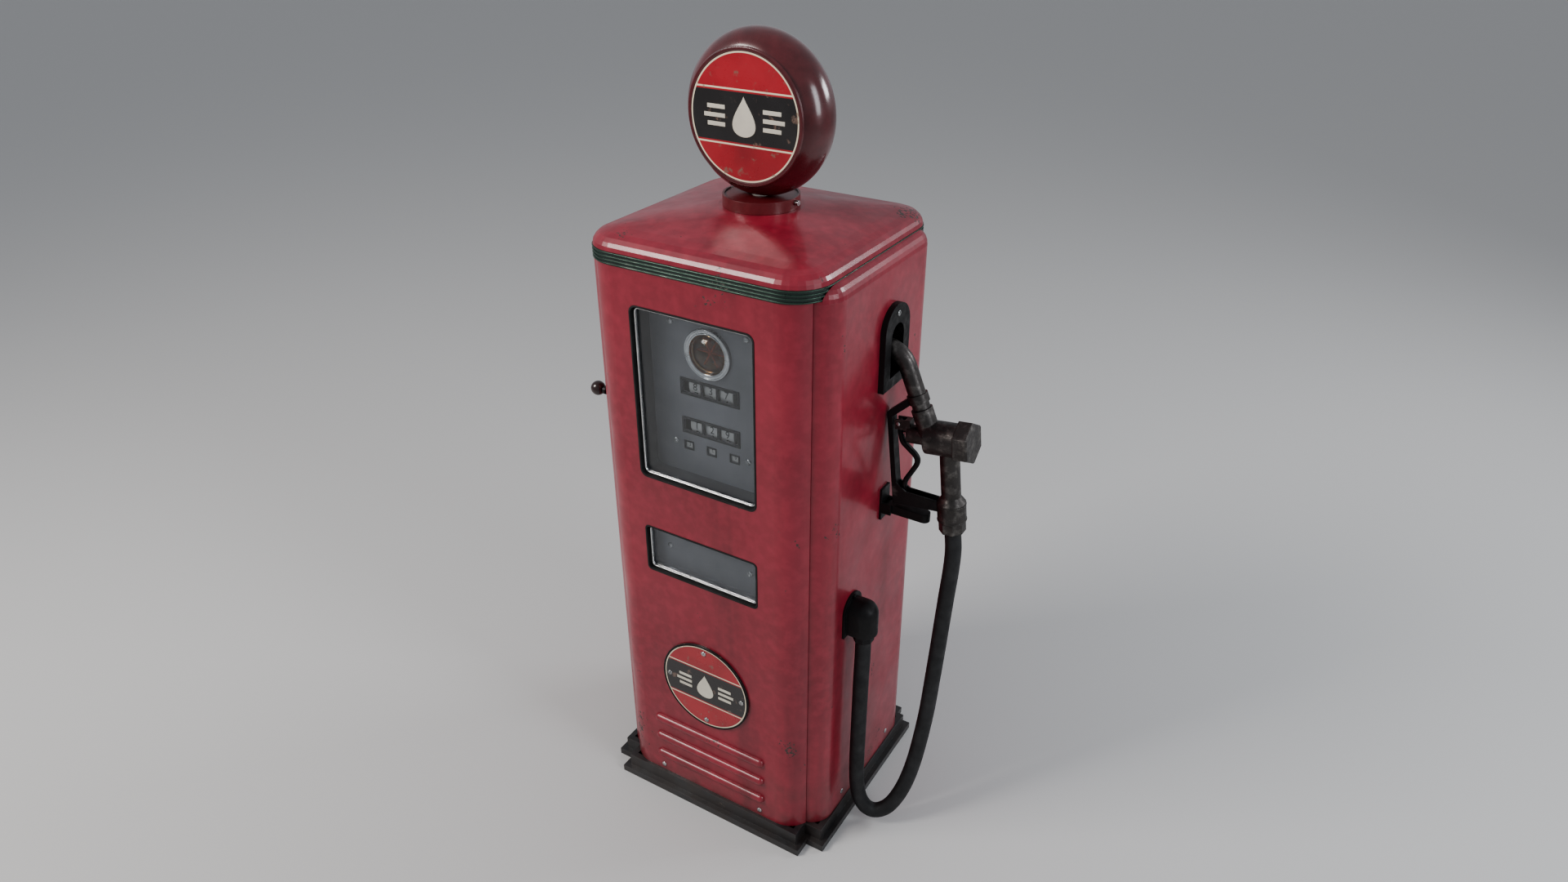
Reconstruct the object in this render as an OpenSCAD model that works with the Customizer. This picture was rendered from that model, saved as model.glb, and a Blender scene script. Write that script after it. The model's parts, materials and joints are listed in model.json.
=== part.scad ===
// Vintage gas pump: a two-box sheet-metal cabinet on a cast plinth, with a lit globe on top,
// a computing dial behind glass, and a hose and nozzle hung on its right side.
// Origin: centre of the anchor bolts on the floor. +Z up, dial side -Y, nozzle side +X.

/* [Cabinet] */
// Width of the front-to-back box
front_w = 562; // [556:1:570]
// Depth of the front-to-back box
front_d = 572; // [568:1:578]
// Corner radius of the front-to-back box
front_r = 74; // [60:1:80]
// Width of the side-to-side box
side_w = 633; // [628:1:640]
// Depth of the side-to-side box
side_d = 488; // [484:1:492]
// Corner radius of the side-to-side box
side_r = 60; // [50:1:66]
// Thickness of the sheet metal
sheet = 2; // [1.6:0.2:2.4]
// Height of the trim band's lower edge
band_z = 1519; // [1515:1:1525]
// Height of the trim band
band_h = 29; // [24:1:34]
// Edge radius of the side box's shoulders
shoulder_r = 35; // [30:1:36]

/* [Plinth] */
// Thickness of the lower tier
slab_h = 19; // [16:1:24]
// Height of the upper tier's top
tier_top = 55; // [50:1:60]
// Radius of the anchor bolt holes
anchor_r = 9; // [7:0.5:10]
// Spacing of the anchor bolts along X
anchor_x = 400; // [380:5:420]
// Spacing of the anchor bolts along Y
anchor_y = 340; // [320:5:360]

/* [Globe] */
// Radius of the globe's body
globe_r = 174; // [168:1:180]
// Height of the globe's centre
globe_z = 1806; // [1803:1:1812]
// Radius of the globe's lenses
lens_r = 138; // [130:1:142]
// Width of the globe, front to back
globe_w = 128; // [120:1:136]

/* [Dial] */
// Width of the dial window
window_w = 322; // [316:1:326]
// Height of the dial window's lower edge
window_z = 1010; // [1006:1:1014]
// Height of the dial window
window_h = 429; // [424:1:432]
// Width of the lower window
slot_w = 320; // [316:1:324]
// Height of the lower window's lower edge
slot_z = 741; // [736:1:746]
// Height of the lower window
slot_h = 131; // [126:1:136]
// Radius of the counter wheels
wheel_r = 36; // [34:1:36]
// Height of the sale counter's axis
sale_z = 1240; // [1238:1:1242]
// Height of the volume counter's axis
volume_z = 1141; // [1139:1:1143]
// Height of the sight glass's centre
sight_z = 1333; // [1331:1:1335]

/* [Badge and ribs] */
// Radius of the round badge
badge_r = 130; // [126:1:136]
// Height of the badge's centre
badge_z = 431; // [428:1:434]
// Height of the lowest rib
rib_z = 120; // [118:1:124]
// Spacing of the ribs
rib_step = 64; // [60:1:66]
// Length of a rib
rib_w = 343; // [330:1:350]

/* [Nozzle] */
// X of the crossing of the valve's and the handle's axes
nozzle_x = 471; // [470:1:472]
// Y of the nozzle's middle plane
nozzle_y = 35; // [34:1:36]
// Height of the crossing of the valve's and the handle's axes
nozzle_z = 1134; // [1133:1:1135]
// Lean of the hanging nozzle
nozzle_lean = 6.7; // [6.7]
// Slope of the boot and of the nozzle's way out
boot_slope = 10; // [10]
// Radius of the spout's casting
spout_r = 20.5; // [20:0.5:21]

/* [Hose] */
// Outer diameter of the hose
hose_d = 40; // [38:1:42]
// Y of the hose outlet
outlet_y = -114; // [-114]
// Height of the hose outlet's horizontal axis
outlet_z = 697; // [695:1:700]
// X of the hose outlet's upright axis
outlet_x = 353; // [353]

/* [Hidden] */
$fn = 48;
e = 0.01;
cap_z = band_z + band_h;
shoulder_z = cap_z - shoulder_r;
face_y = front_d / 2;
wall_x = side_w / 2;
notch_y = side_d / 2;
glass_y = -face_y + 14;
glass_t = 4;
plate_y = -220;
pan_y = -246;
run_fit = 0.05;
upright_x = 225;
upright_y = 195;
pump_shelf_z = 140;
meter_shelf_z = 560;
register_shelf_z = 1060;
shelf_t = 4;
counter_y = plate_y + 2 + 1.5 + wheel_r;
wheel_w = 34;
wheel_step = 42;
counter_shaft_r = 6;
drive_y = 150;
motor_x = 120;
motor_z = 250;
motor_r = 82;
pump_x = -110;
pump_z = 262;
motor_sheave_r = 36;
pump_sheave_r = 108;
crank_y = -120;
crank_z = 1144;
crank_arm = 67;
hook_z = 913;
hook_x = wall_x + 18;
badge_screw_r = 110;
badge_t = 5;
meter_x = 50;
meter_r = 75;
feed_x = -140;
feed_z = 640;
conduit_x = 195;
conduit_y = 118;
spout_x = 359;
spout_z = 1290;
spout_slope = 23;
trigger_x = -119;
trigger_z = 26;
collar_r = 86;
nut_z = -236.4;
// Route of the hose's middle line, from the outlet down, round and up to the nozzle
HOSE_ROUTE = [
    [353, -114, 617], [353, -114, 560], [353, -117, 480], [353, -118, 400], [353, -119, 320],
    [353, -120, 240], [354, -120, 170], [358, -119, 120], [366, -117, 82], [380, -112, 55],
    [398, -104, 42], [418, -94, 45], [437, -82, 62], [454, -67, 96], [468, -50, 145],
    [478, -32, 210], [485, -16, 290], [490, -4, 370], [493, 6, 460], [496, 15, 550],
    [499, 22, 640], [502, 28, 720], [505, 33, 790], [505, 35, 848], [499, 35, 899]
];

// ---- shared shapes ----

// Rectangle w by d with corners of radius r, about the origin
module plan(w, d, r) {
    square([w - 2 * r, d], center = true);
    square([w, d - 2 * r], center = true);
    for (x = [-1, 1], y = [-1, 1])
        translate([x * (w / 2 - r), y * (d / 2 - r)])
            circle(r);
}

module plan_ring(w, d, r, t) {
    difference() {
        plan(w, d, r);
        plan(w - 2 * t, d - 2 * t, r - t);
    }
}

// Cylinders along X and Y from the present point
module rod_x(r, l) {
    rotate([0, 90, 0])
        cylinder(r = r, h = l);
}

module rod_y(r, l) {
    rotate([-90, 0, 0])
        cylinder(r = r, h = l);
}

// A flat outline drawn in X and Z, thick along Y from y0 to y1
module upright_plate(y0, y1) {
    translate([0, y1, 0])
        rotate([90, 0, 0])
            linear_extrude(y1 - y0)
                children();
}

// A smooth block whose outline shrinks with height: levels are [inset, height]
module stacked_block(w, d, r, levels, z) {
    hull()
        for (step = levels)
            translate([0, 0, z + step[1]])
                linear_extrude(0.2)
                    plan(w - 2 * step[0], d - 2 * step[0], max(r - step[0], 5), $fn = 32);
}

// A pan-head screw with its head outward along -Y at the origin
module screw() {
    translate([0, -3, 0])
        rod_y(7, 3);
    rod_y(3, 12);
}

// Ring of square section: outer w by h, frame width t, corner radius r, drawn in X and Z
module window_ring(w, h, r, t) {
    difference() {
        plan(w, h, r);
        plan(w - 2 * t, h - 2 * t, max(r - t, 2));
    }
}

// ---- base and frame ----

module plinth_plan(grow) {
    square([544 + 2 * grow, 588 + 2 * grow], center = true);
    square([640 + 2 * grow, 496 + 2 * grow], center = true);
}

module plinth() {
    color("black") difference() {
        union() {
            linear_extrude(slab_h)
                plinth_plan(15);
            linear_extrude(tier_top)
                plinth_plan(0);
        }
        translate([0, 0, slab_h])
            linear_extrude(tier_top)
                plinth_plan(-16);
        translate([0, 0, -1])
            linear_extrude(slab_h + 2)
                plan(440, 270, 30);
        for (x = [-1, 1], y = [-1, 1])
            translate([x * anchor_x / 2, y * anchor_y / 2, -1])
                cylinder(r = anchor_r, h = slab_h + 2);
    }
}

module frame_uprights() {
    color("dimgray") {
        for (x = [-1, 1], y = [-1, 1])
            translate([x * upright_x, y * upright_y, slab_h])
                linear_extrude(band_z - 20 - slab_h) {
                    translate([x > 0 ? 0 : -4, y > 0 ? -36 : -4])
                        square([4, 40]);
                    translate([x > 0 ? -36 : -4, y > 0 ? 0 : -4])
                        square([40, 4]);
                }
        for (y = [-1, 1])
            translate([-upright_x, y > 0 ? upright_y + 3.9 : -upright_y - 8, band_z - 60])
                cube([2 * upright_x, 4.1, 40]);
    }
}

// Shelf plate between the uprights; holes are [x, y, radius]
module shelf_plate(z, holes) {
    difference() {
        translate([-upright_x + 0.2, -upright_y + 0.2, z])
            cube([2 * upright_x - 0.4, 2 * upright_y - 0.4, shelf_t]);
        for (hole = holes)
            translate([hole[0], hole[1], z - 1])
                cylinder(r = hole[2], h = shelf_t + 2);
    }
}

module shelves() {
    color("dimgray") {
        shelf_plate(pump_shelf_z, [[-175, -60, 35], [conduit_x, conduit_y, 13]]);
        shelf_plate(meter_shelf_z, [[feed_x, 0, 20]]);
        shelf_plate(register_shelf_z, [[meter_x, 0, 20], [150, 120, 14]]);
    }
}

// ---- sheet-metal skins ----

// Half of the side box's skin: upright walls and the rounded shoulder above them
module side_skin() {
    intersection() {
        union() {
            translate([0, 0, tier_top])
                linear_extrude(shoulder_z - tier_top)
                    plan_ring(side_w, side_d, side_r, sheet);
            difference() {
                stacked_block(side_w, side_d, side_r, shoulder_levels(shoulder_r), shoulder_z);
                stacked_block(side_w - 2 * sheet, side_d - 2 * sheet, side_r - sheet,
                    shoulder_levels(shoulder_r - sheet), shoulder_z - 0.3);
            }
        }
        translate([front_w / 2 - 14, -side_d, 0])
            cube([200, 2 * side_d, 2000]);
    }
}

function shoulder_levels(r) = [for (a = [0:15:90]) [r * (1 - cos(a)), r * sin(a)]];

module side_screw_holes() {
    for (y = [-130, 130])
        translate([wall_x - 5, y, 90])
            rod_x(3.1, 10);
}

module left_side_panel() {
    color("firebrick") mirror([1, 0, 0])
        difference() {
            side_skin();
            band_room();
            translate([wall_x - 5, crank_y, crank_z])
                rod_x(8 + run_fit, 10);
            side_screw_holes();
        }
}

// The space that the trim band and the cap take
module band_room() {
    translate([0, 0, band_z - 0.3])
        linear_extrude(200)
            plan(front_w + 25, front_d + 5, front_r + 12);
}

module right_side_panel() {
    color("firebrick") difference() {
        side_skin();
        band_room();
        translate([wall_x - 10, nozzle_y, 1324])
            rotate([90, 0, 90])
                linear_extrude(20)
                    boot_outline(35, 68);
        translate([wall_x - 5, outlet_y, outlet_z])
            rod_x(24, 10);
        side_screw_holes();
    }
}

module front_skin() {
    intersection() {
        translate([0, 0, tier_top])
            linear_extrude(band_z - 0.5 - tier_top)
                plan_ring(front_w, front_d, front_r, sheet);
        translate([-front_w, -front_d, 0])
            cube([2 * front_w, front_d - notch_y - 0.3, 2000]);
    }
}

// Pressed ribs: half-round bars with round ends
module rib_bars() {
    for (i = [0:2])
        translate([0, -face_y + 0.5, rib_z + i * rib_step])
            intersection() {
                hull()
                    for (x = [-1, 1])
                        translate([x * (rib_w / 2 - 12), 0, 0])
                            sphere(12, $fn = 32);
                translate([-rib_w, -20, -20])
                    cube([2 * rib_w, 20, 40]);
            }
}

module front_panel() {
    color("firebrick") difference() {
        union() {
            front_skin();
            rib_bars();
        }
        translate([0, 0, window_z + window_h / 2])
            upright_plate(-face_y - 5, -face_y + 10)
                plan(window_w, window_h, 19);
        translate([0, 0, slot_z + slot_h / 2])
            upright_plate(-face_y - 5, -face_y + 10)
                plan(slot_w, slot_h, 12);
        for (x = [-156, 156])
            translate([x, -face_y - 1, 74])
                rod_y(3.1, 5);
        for (a = [0:90:270])
            translate([badge_screw_r * sin(a), -face_y - 1, badge_z + badge_screw_r * cos(a)])
                rod_y(3.1, 5);
    }
}

module rear_panel() {
    color("firebrick") mirror([0, 1, 0])
        difference() {
            union() {
                front_skin();
                rib_bars();
            }
            for (x = [-156, 156])
                translate([x, -face_y - 1, 74])
                    rod_y(3.1, 5);
        }
}

module trim_band() {
    color("darkgreen") difference() {
        union() {
            translate([0, 0, band_z])
                linear_extrude(band_h)
                    plan(front_w + 20, front_d, front_r + 10);
            for (i = [0:3])
                translate([0, 0, band_z + 1 + i * (band_h - 5) / 3])
                    linear_extrude(3)
                        plan(front_w + 24, front_d + 4, front_r + 12);
        }
        translate([0, 0, band_z - 1])
            linear_extrude(band_h + 2)
                plan(front_w - 8, front_d - 8, front_r - 4);
    }
}

function cap_levels() = [[0, 0], [2, 9], [7, 17], [16, 25], [32, 31], [58, 37], [80, 40]];

// The cap's shape over its rim, drawn thinner by t
module cap_block(t) {
    hull() {
        for (step = cap_levels())
            translate([0, 0, cap_z + step[1] - t])
                linear_extrude(0.2)
                    plan(front_w + 24 - 2 * step[0] - 2 * t, front_d + 2 - 2 * step[0] - 2 * t,
                        max(front_r + 12 - step[0] - t, 6), $fn = 32);
        translate([0, 0, cap_z + 60 - t])
            cylinder(r = 96, h = 1.8, $fn = 48);
    }
}

module cap() {
    color("firebrick") difference() {
        cap_block(0);
        intersection() {
            cap_block(3);
            translate([-400, -400, cap_z])
                cube([800, 800, 100]);
        }
        translate([-400, -400, cap_z - 20])
            cube([800, 800, 20]);
        translate([0, 0, cap_z + 20])
            cylinder(r = 22, h = 60);
    }
}

// ---- globe ----

// Drum with a seat inside its upper rim, on which the globe rests
module globe_collar() {
    color("#5a1b1e") difference() {
        translate([0, 0, cap_z + 62])
            cylinder(r = collar_r, h = 26);
        translate([0, 0, cap_z + 66])
            cylinder(r = collar_r - 5, h = 15.2);
        translate([0, 0, cap_z + 85.2])
            cylinder(r = collar_r - 5, h = 10);
        translate([0, 0, cap_z + 60])
            cylinder(r = 22, h = 40);
        translate([collar_r - 8, 0, cap_z + 78])
            rod_x(2.55, 12);
    }
}

module collar_screw() {
    color("silver") translate([collar_r - 4, 0, cap_z + 78]) {
        rod_x(2.5, 8);
        translate([4.5, 0, 0])
            rod_x(6, 9);
    }
}

// Half section of the globe's body, to be turned round its front-to-back axis
module globe_section(r, w) {
    difference() {
        union() {
            square([r - w / 2, w], center = false);
            translate([r - w / 2, w / 2])
                circle(w / 2);
        }
        translate([-1, -1])
            square([1, w + 2]);
    }
}

module globe_body() {
    color("#6b3a3e") difference() {
        translate([0, globe_w / 2, globe_z])
            rotate([90, 0, 0])
                rotate_extrude()
                    difference() {
                        globe_section(globe_r, globe_w);
                        translate([0, 5])
                            globe_section(globe_r - 5, globe_w - 10);
                        translate([0, -1])
                            square([lens_r + 0.5, globe_w + 2]);
                    }
        translate([0, 0, globe_z - globe_r - 1])
            cylinder(r = 22, h = 60);
    }
}

module globe_lens() {
    translate([0, -globe_w / 2 + 6, globe_z])
        rotate([90, 0, 0])
            difference() {
                translate([0, 0, -8])
                    cylinder(r = lens_r, h = 14);
                translate([0, 0, -12])
                    cylinder(r = lens_r - 6, h = 14);
            }
}

module front_globe_lens() {
    color("#b8232b") globe_lens();
}

module rear_globe_lens() {
    color("#b8232b") mirror([0, 1, 0])
        globe_lens();
}

module lamp_socket() {
    color("white") translate([0, 0, cap_z + 66])
        difference() {
            cylinder(r = 21.5, h = 44);
            translate([0, 0, 12])
                cylinder(r = 13.5, h = 44);
        }
}

module lamp_bulb() {
    color("ivory") translate([0, 0, cap_z + 80]) {
        cylinder(r = 13, h = 34);
        translate([0, 0, 60])
            sphere(30);
    }
}

// ---- dial ----

module window_gasket() {
    color("#151515")
        for (w = [[window_z, window_w, window_h, 19], [slot_z, slot_w, slot_h, 12]])
            translate([0, 0, w[0] + w[2] / 2])
                upright_plate(-face_y - 1, glass_y)
                    window_ring(w[1] - 0.4, w[2] - 0.4, w[3], 4);
}

module glass_panes() {
    color("lightblue", 0.4)
        for (w = [[window_z, window_w, window_h, 20], [slot_z, slot_w, slot_h, 14]])
            translate([0, 0, w[0] + w[2] / 2])
                upright_plate(glass_y, glass_y + glass_t)
                    plan(w[1] + 12, w[2] + 12, w[3]);
}

// Moulding in five steps from the glass back to the dial plate
module window_frame() {
    color("slategray") difference() {
        translate([0, 0, window_z + window_h / 2])
            upright_plate(glass_y + glass_t, plate_y)
                plan(window_w + 16, window_h + 16, 20);
        for (i = [0:5])
            translate([0, 0, window_z + window_h / 2])
                upright_plate(glass_y + glass_t + i * 8 - (i == 0 ? 1 : 0), plate_y + 1)
                    plan(window_w - 8 - i * 7, window_h - 8 - i * 7, 16);
    }
}

module dial_plate() {
    color("gray") difference() {
        translate([0, 0, window_z + window_h / 2])
            upright_plate(plate_y, plate_y + 2)
                plan(window_w + 16, window_h + 16, 6);
        translate([0, plate_y - 1, sight_z])
            rod_y(46, 5);
        for (z = [sale_z, volume_z])
            translate([-72, plate_y - 1, z - 14])
                cube([144, 5, 28]);
        for (x = [-63, 0, 63])
            translate([x - 10, plate_y - 1, 1080])
                cube([20, 5, 16]);
        for (x = [-100, 100], z = [1091, 1390])
            translate([x, plate_y - 1, z])
                rod_y(3.1, 5);
    }
}

module sight_ring() {
    color("silver") translate([0, plate_y, sight_z])
        difference() {
            translate([0, -9, 0])
                rod_y(61, 9);
            translate([0, -10, 0])
                rod_y(46.2, 12);
        }
}

module sight_dome() {
    color("#9a7a50", 0.6) translate([0, plate_y - 2, sight_z])
        difference() {
            intersection() {
                translate([0, 38.5, 0])
                    sphere(60, $fn = 64);
                translate([0, -30, 0])
                    rod_y(46, 32);
            }
            intersection() {
                translate([0, 38.5, 0])
                    sphere(56, $fn = 64);
                translate([0, -30, 0])
                    rod_y(42, 33);
            }
        }
}

module sight_housing() {
    color("dimgray") translate([0, plate_y + 2, sight_z])
        difference() {
            rod_y(49, 50);
            translate([0, -1, 0])
                rod_y(43, 41);
            translate([0, 30, 0])
                rod_y(4 + run_fit, 12);
        }
}

module flow_spinner() {
    color("orange") translate([0, plate_y + 4, sight_z]) {
        rod_y(4, 37.5);
        for (a = [0:60:300])
            rotate([0, a, 0])
                translate([3, 4, -1.5])
                    cube([34, 16, 3]);
    }
}

module slot_pan() {
    color("slategray") difference() {
        translate([0, 0, slot_z + slot_h / 2])
            upright_plate(glass_y + glass_t, pan_y + 2)
                plan(slot_w + 16, slot_h + 16, 16);
        translate([0, 0, slot_z + slot_h / 2])
            upright_plate(glass_y + glass_t - 1, pan_y)
                plan(slot_w - 8, slot_h - 8, 10);
        for (x = [-116, 116])
            translate([x, pan_y - 1, 803])
                rod_y(3.1, 5);
    }
}

module badge() {
    color("crimson") difference() {
        translate([0, -face_y - badge_t, badge_z])
            rod_y(badge_r, badge_t);
        for (a = [0:90:270])
            translate([badge_screw_r * sin(a), -face_y - badge_t - 1, badge_z + badge_screw_r * cos(a)])
                rod_y(3.1, 10);
    }
}

// ---- fasteners ----

module screws() {
    color("silver") {
        for (x = [-156, 156]) {
            translate([x, -face_y, 74])
                screw();
            translate([x, face_y, 74])
                rotate([0, 0, 180])
                    screw();
        }
        for (s = [-1, 1], y = [-130, 130])
            translate([s * wall_x, y, 90])
                rotate([0, 0, s * 90])
                    screw();
        translate([wall_x + 14, nozzle_y, 1410])
            rotate([0, 0, 90])
                screw();
        for (x = [-100, 100], z = [1091, 1390])
            translate([x, plate_y, z])
                screw();
        for (x = [-116, 116])
            translate([x, pan_y, 803])
                screw();
        for (a = [0:90:270])
            translate([badge_screw_r * sin(a), -face_y - badge_t, badge_z + badge_screw_r * cos(a)])
                screw();
    }
}

// ---- counters ----

module counter_wheel(x, z) {
    translate([x - wheel_w / 2, counter_y, z])
        difference() {
            rod_x(wheel_r, wheel_w);
            translate([-1, 0, 0])
                rod_x(counter_shaft_r + run_fit, wheel_w + 2);
        }
}

module sale_wheel_1() {
    color("white") counter_wheel(-wheel_step, sale_z);
}

module sale_wheel_2() {
    color("white") counter_wheel(0, sale_z);
}

module sale_wheel_3() {
    color("white") counter_wheel(wheel_step, sale_z);
}

module volume_wheel_1() {
    color("white") counter_wheel(-wheel_step, volume_z);
}

module volume_wheel_2() {
    color("white") counter_wheel(0, volume_z);
}

module volume_wheel_3() {
    color("white") counter_wheel(wheel_step, volume_z);
}

module register_case() {
    color("dimgray") {
        for (x = [-96, 92])
            translate([x, plate_y + 2, register_shelf_z + shelf_t])
                cube([4, 250, sight_z - 51 - register_shelf_z - shelf_t]);
        for (z = [sale_z, volume_z])
            translate([-92, counter_y, z])
                rod_x(counter_shaft_r, 184);
        difference() {
            translate([-92, plate_y + 90, register_shelf_z + shelf_t])
                cube([184, 160, 200]);
            translate([meter_x, 0, register_shelf_z])
                cylinder(r = 8 + run_fit, h = 30);
        }
        for (x = [-63, 0, 63])
            translate([x - 8, plate_y + 12, 1088])
                rod_x(8, 16);
        translate([-92, plate_y + 8, register_shelf_z + shelf_t])
            cube([184, 8, 17]);
        difference() {
            translate([-120, crank_y, crank_z])
                rod_x(16, 24);
            translate([-121, crank_y, crank_z])
                rod_x(8 + run_fit, 22);
        }
    }
}

module reset_crank() {
    color("dimgray") {
        translate([-wall_x - 22, crank_y, crank_z])
            rod_x(8, wall_x - 100 + 22);
        translate([-wall_x - 22, crank_y, crank_z])
            rod_x(14, 18);
        translate([-wall_x - 22, crank_y - crank_arm, crank_z])
            difference() {
                union() {
                    rod_x(10, 8);
                    translate([0, 0, -7])
                        cube([8, crank_arm, 14]);
                }
                translate([-1, 0, 0])
                    rod_x(4, 10);
            }
    }
}

module reset_knob() {
    color("black") translate([-wall_x - 42, crank_y - crank_arm, crank_z])
        rotate([0, 90, 0])
            rotate_extrude()
                intersection() {
                    union() {
                        circle(18);
                        square([3.95, 28]);
                    }
                    translate([0, -30])
                        square([30, 60]);
                }
}

// ---- nozzle side ----

// Arch-topped outline: half width a, height h from the middle of the straight foot
module boot_outline(a, h) {
    translate([0, h - a])
        circle(a);
    translate([-a, -h])
        square([2 * a, 2 * h - a]);
}

module nozzle_boot() {
    color("#1c1b1c") translate([wall_x, nozzle_y, 1324])
        rotate([90, 0, 90]) {
            difference() {
                linear_extrude(14)
                    translate([0, 10])
                        boot_outline(60, 98);
                translate([0, 0, -1])
                    linear_extrude(16)
                        boot_outline(30, 62);
                translate([0, 86, -1])
                    cylinder(r = 3.1, h = 16);
            }
            difference() {
                translate([0, 0, -118])
                    linear_extrude(118)
                        boot_outline(34, 66);
                translate([0, 0, -115])
                    linear_extrude(118)
                        boot_outline(30, 62);
            }
        }
}

module hook_bracket() {
    color("#2a2828") {
        translate([wall_x, nozzle_y - 21, hook_z - 34])
            cube([6, 42, 84]);
        for (y = [-21, 15])
            translate([wall_x + 6, nozzle_y + y, hook_z - 14])
                difference() {
                    cube([24, 6, 28]);
                    translate([12, -1, 14])
                        rod_y(4, 8);
                }
        translate([hook_x, nozzle_y - 21, hook_z])
            rod_y(4, 42);
    }
}

// Tongue under the nozzle's guard, turning on the bracket's pin
module hook_lever() {
    color("#2a2828") difference() {
        union() {
            translate([hook_x, nozzle_y - 14.5, hook_z])
                rod_y(11, 29);
            translate([hook_x, nozzle_y - 14.5, hook_z - 11])
                cube([440 - 15 - hook_x, 29, 22]);
            translate([440 - 15, nozzle_y, hook_z - 11])
                cylinder(r = 14.5, h = 22);
        }
        translate([hook_x, nozzle_y - 20, hook_z])
            rod_y(4 + run_fit, 40);
    }
}

module hose_outlet() {
    color("#2a2828") difference() {
        union() {
            translate([wall_x, outlet_y - 44, 632])
                cube([6, 88, outlet_z - 632]);
            translate([wall_x, outlet_y, outlet_z])
                rod_x(44, 6);
            translate([wall_x, outlet_y, outlet_z])
                rod_x(34, outlet_x - wall_x);
            translate([outlet_x, outlet_y, outlet_z])
                sphere(34);
            translate([outlet_x, outlet_y, 640])
                cylinder(r = 34, h = outlet_z - 640);
            translate([wall_x, outlet_y - 34, 640])
                cube([outlet_x - wall_x, 68, outlet_z - 640]);
            translate([outlet_x, outlet_y, 617])
                rotate([0, 0, 22.5])
                    cylinder(r = 26, h = 24, $fn = 8);
            translate([wall_x - 28, outlet_y, outlet_z])
                rod_x(22, 30);
            translate([wall_x + 5, outlet_y, outlet_z + 39])
                rod_x(5, 5);
        }
        translate([wall_x - 29, outlet_y, outlet_z])
            rod_x(16, outlet_x - wall_x + 29);
        translate([outlet_x, outlet_y, 616])
            cylinder(r = 16, h = outlet_z - 616);
        translate([outlet_x, outlet_y, outlet_z])
            sphere(16);
    }
}

// ---- hose ----

function unit(v) = v / norm(v);
function hose_way(i) = unit(HOSE_ROUTE[min(i + 1, len(HOSE_ROUTE) - 1)] - HOSE_ROUTE[max(i - 1, 0)]);
function hose_side(i) = unit(cross(hose_way(i), [-0.58, 0.81, 0]));
function hose_ring(i, n) =
    let (u = hose_side(i), w = cross(hose_way(i), u))
    [for (k = [0:n - 1]) HOSE_ROUTE[i] + hose_d / 2 * (cos(k * 360 / n) * u + sin(k * 360 / n) * w)];

module hose() {
    n = 12;
    last = len(HOSE_ROUTE) - 1;
    points = [for (i = [0:last]) each hose_ring(i, n)];
    sides = [for (i = [0:last - 1], k = [0:n - 1])
        [i * n + k, i * n + (k + 1) % n, (i + 1) * n + (k + 1) % n, (i + 1) * n + k]];
    ends = [[for (k = [0:n - 1]) n - 1 - k], [for (k = [0:n - 1]) last * n + k]];
    color("#171717") polyhedron(points, concat(sides, ends), convexity = 6);
}

// ---- nozzle: drawn upright about the crossing of its axes, then leaned ----

module hung() {
    translate([nozzle_x, nozzle_y, nozzle_z])
        rotate([0, -nozzle_lean, 0])
            children();
}

module nozzle_casting() {
    color("#343030") difference() {
        union() {
            hung() {
                translate([-98, 0, 0])
                    rod_x(22, 60);
                translate([-50, 0, 0])
                    rod_x(40, 74);
                translate([0, 0, -160])
                    cylinder(r = 23, h = 140);
                translate([0, 0, -160])
                    cylinder(r1 = 34, r2 = 23, h = 16);
                translate([0, 0, -207])
                    cylinder(r = 34, h = 47.1);
                for (y = [-12.3, 7.3])
                    translate([-128, y, 12])
                        cube([38, 5, 24]);
                translate([-104, -12.3, 12])
                    cube([14, 24.6, 24]);
                translate([trigger_x, -12.3, trigger_z])
                    rod_y(3, 24.6);
            }
            spout_place()
                translate([0, 0, -166])
                    cylinder(r = 25, h = 62);
        }
        hung() {
            translate([-120, 0, 0])
                rod_x(5 + run_fit, 90);
            translate([0, 0, -208])
                cylinder(r = 14, h = 190);
        }
    }
}

// The spout's upper bend, with -Z down its straight part
module spout_place() {
    translate([spout_x, nozzle_y, spout_z])
        rotate([0, -spout_slope, 0])
            children();
}

// Spout: straight up from the casting, round a bend, and slightly down into the boot
module nozzle_spout() {
    bend = 60;
    turn = 90 - spout_slope + boot_slope;
    color("#343030") spout_place() {
        difference() {
            union() {
                translate([0, 0, -104])
                    cylinder(r = spout_r, h = 104);
                translate([0, 0, -88])
                    cylinder(r = spout_r + 4, h = 20);
                translate([-bend, 0, 0])
                    rotate([90, 0, 0])
                        rotate_extrude(angle = turn)
                            translate([bend, 0])
                                circle(spout_r);
            }
            translate([0, 0, -105])
                cylinder(r = spout_r - 6, h = 105);
            translate([-bend, 0, 0])
                rotate([90, 0, 0])
                    rotate_extrude(angle = turn)
                        translate([bend, 0])
                            circle(spout_r - 6);
        }
        translate([-bend, 0, 0])
            rotate([0, -turn, 0])
                translate([bend, 0, 0])
                    difference() {
                        translate([0, 0, -4])
                            cylinder(r = 16, h = 84);
                        translate([0, 0, -5])
                            cylinder(r = 13, h = 90);
                    }
    }
}

module valve_cap() {
    color("#3a3635") hung()
        translate([24, 0, 0])
            rotate([0, 90, 0])
                cylinder(r = 50.8, h = 36, $fn = 6);
}

module hose_nut() {
    color("#343030") hung() difference() {
        translate([0, 0, nut_z])
            rotate([0, 0, 22.5])
                cylinder(r = 32, h = -207.2 - nut_z, $fn = 8);
        translate([0, 0, nut_z - 1])
            cylinder(r = 14, h = 40);
    }
}

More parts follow.
